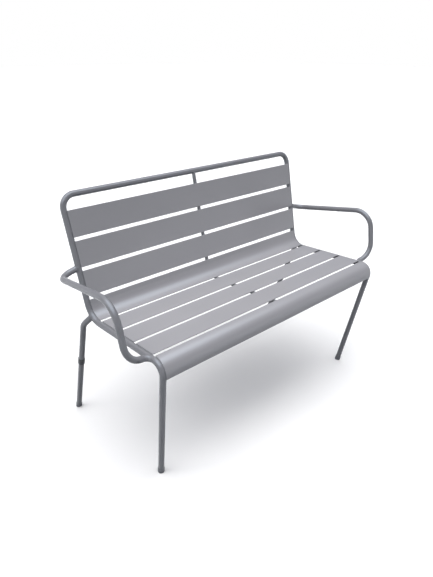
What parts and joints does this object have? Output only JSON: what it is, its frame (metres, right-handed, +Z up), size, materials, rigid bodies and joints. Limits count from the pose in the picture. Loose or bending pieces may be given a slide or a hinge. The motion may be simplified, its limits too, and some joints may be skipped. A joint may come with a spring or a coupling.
{
  "type": "outdoor bench",
  "caption": "Garden bench of bent steel tube with armrests, and sheet strips that run from the back down over the seat and round its front edge.",
  "frame": {"origin": "on the floor under the middle of the bench's bounding box", "axes": "+X along the bench to the right as seen from the front, -Y towards the front, +Z up"},
  "size_m": [1.1854, 0.5698, 0.838],
  "materials": {
    "tube_coating": "satin fine-textured powder coat, grey",
    "strip_coating": "satin fine-textured powder coat, grey",
    "foot_plastic": "moulded plastic, dark grey",
    "bumper_plastic": "moulded plastic, nearly black"
  },
  "bodies": {
    "root": {"back_seat_frame": "tube_coating", "arm_leg_left": "tube_coating", "arm_leg_right": "tube_coating", "rear_leg_left": "tube_coating", "rear_leg_right": "tube_coating", "centre_support": "tube_coating", "back_slat_top": "strip_coating", "back_slat_middle": "strip_coating", "back_slat_lower": "strip_coating", "seat_slat_rear_curved": "strip_coating", "seat_slat_rear": "strip_coating", "seat_slat_middle": "strip_coating", "seat_slat_front": "strip_coating", "seat_slat_bullnose": "strip_coating", "foot_front_left": "foot_plastic", "foot_front_right": "foot_plastic", "foot_rear_left": "foot_plastic", "foot_rear_right": "foot_plastic", "bumper_left": "bumper_plastic", "bumper_right": "bumper_plastic"}
  },
  "joints": []
}
